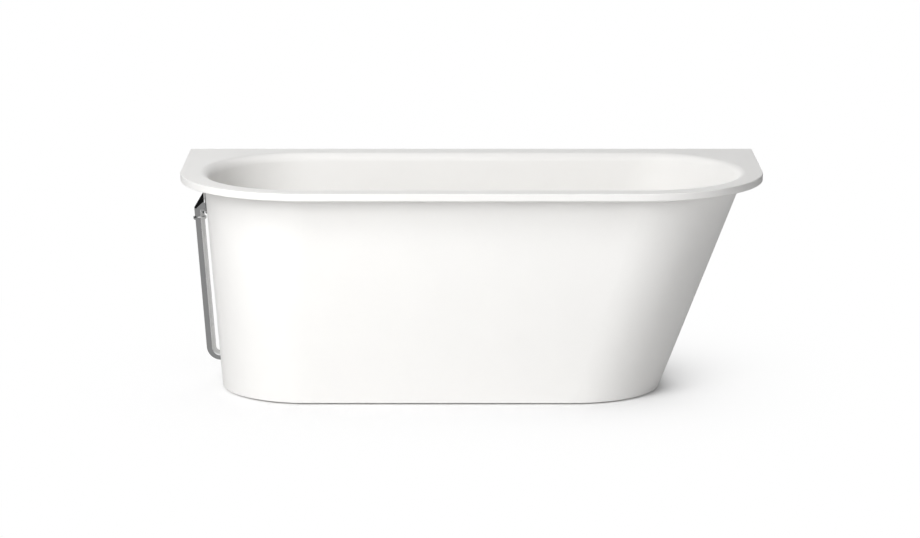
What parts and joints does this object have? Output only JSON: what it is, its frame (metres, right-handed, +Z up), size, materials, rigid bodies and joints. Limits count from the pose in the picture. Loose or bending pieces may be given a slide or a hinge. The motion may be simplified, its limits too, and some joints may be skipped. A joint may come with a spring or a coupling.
{
  "type": "stone resin bathtub",
  "caption": "Back-to-wall bathtub: flat deck with round front corners, raked backrest, outside overflow pipe, pop-up plug, siphon and levelling feet.",
  "frame": {"origin": "on the floor, under the middle of the deck's box", "axes": "+X along the bath from the overflow end to the backrest end, +Y to the wall, +Z up"},
  "size_m": [1.7, 0.75, 0.63],
  "materials": {
    "stone_resin": "satin",
    "chrome": "polished",
    "brass": "satin",
    "steel": "satin",
    "black_rubber": "matte",
    "white_rubber": "matte",
    "grey_plastic": "matte",
    "white_plastic": "satin"
  },
  "bodies": {
    "tub": {"tub_shell": "stone_resin", "overflow_cover": "chrome", "overflow_elbow": "chrome", "overflow_collar": "chrome", "overflow_pipe": "chrome", "waste_flange": "chrome", "foot_inserts": "brass", "waste_back_nut": "brass", "cartridge_sleeve": "brass", "foot_lock_nuts": "steel", "overflow_cover_screw": "steel", "cartridge_spring": "steel", "overflow_inner_seal": "black_rubber", "overflow_outer_seal": "black_rubber", "overflow_collar_seal": "black_rubber", "pipe_union_seal": "black_rubber", "siphon_bowl_seal": "black_rubber", "siphon_inlet_seal": "black_rubber", "waste_upper_seal": "black_rubber", "waste_lower_seal": "black_rubber", "pipe_sleeve": "white_rubber", "siphon_housing": "grey_plastic", "siphon_bowl": "grey_plastic", "pipe_union_nut": "white_plastic", "siphon_inlet_nut": "white_plastic"},
    "plug": {"plug_cap": "chrome", "plug_seal": "black_rubber", "plug_stem": "brass", "cartridge_cam": "white_plastic"},
    "foot_1": {"foot_base_1": "white_plastic", "foot_sole_1": "black_rubber", "foot_screw_1": "steel"},
    "foot_2": {"foot_base_2": "white_plastic", "foot_sole_2": "black_rubber", "foot_screw_2": "steel"},
    "foot_3": {"foot_base_3": "white_plastic", "foot_sole_3": "black_rubber", "foot_screw_3": "steel"},
    "foot_4": {"foot_base_4": "white_plastic", "foot_sole_4": "black_rubber", "foot_screw_4": "steel"}
  },
  "joints": [
    {"name": "plug_lift", "type": "slide", "parent": "tub", "child": "plug", "axis": [0, 0, 1], "range_m": [0, 0.009], "deforming": ["cartridge_spring"]},
    {"name": "foot_1_reach", "type": "slide", "parent": "tub", "child": "foot_1", "axis": [0, 0, -1], "range_m": [0, 0.02]},
    {"name": "foot_2_reach", "type": "slide", "parent": "tub", "child": "foot_2", "axis": [0, 0, -1], "range_m": [0, 0.02]},
    {"name": "foot_3_reach", "type": "slide", "parent": "tub", "child": "foot_3", "axis": [0, 0, -1], "range_m": [0, 0.02]},
    {"name": "foot_4_reach", "type": "slide", "parent": "tub", "child": "foot_4", "axis": [0, 0, -1], "range_m": [0, 0.02]}
  ]
}
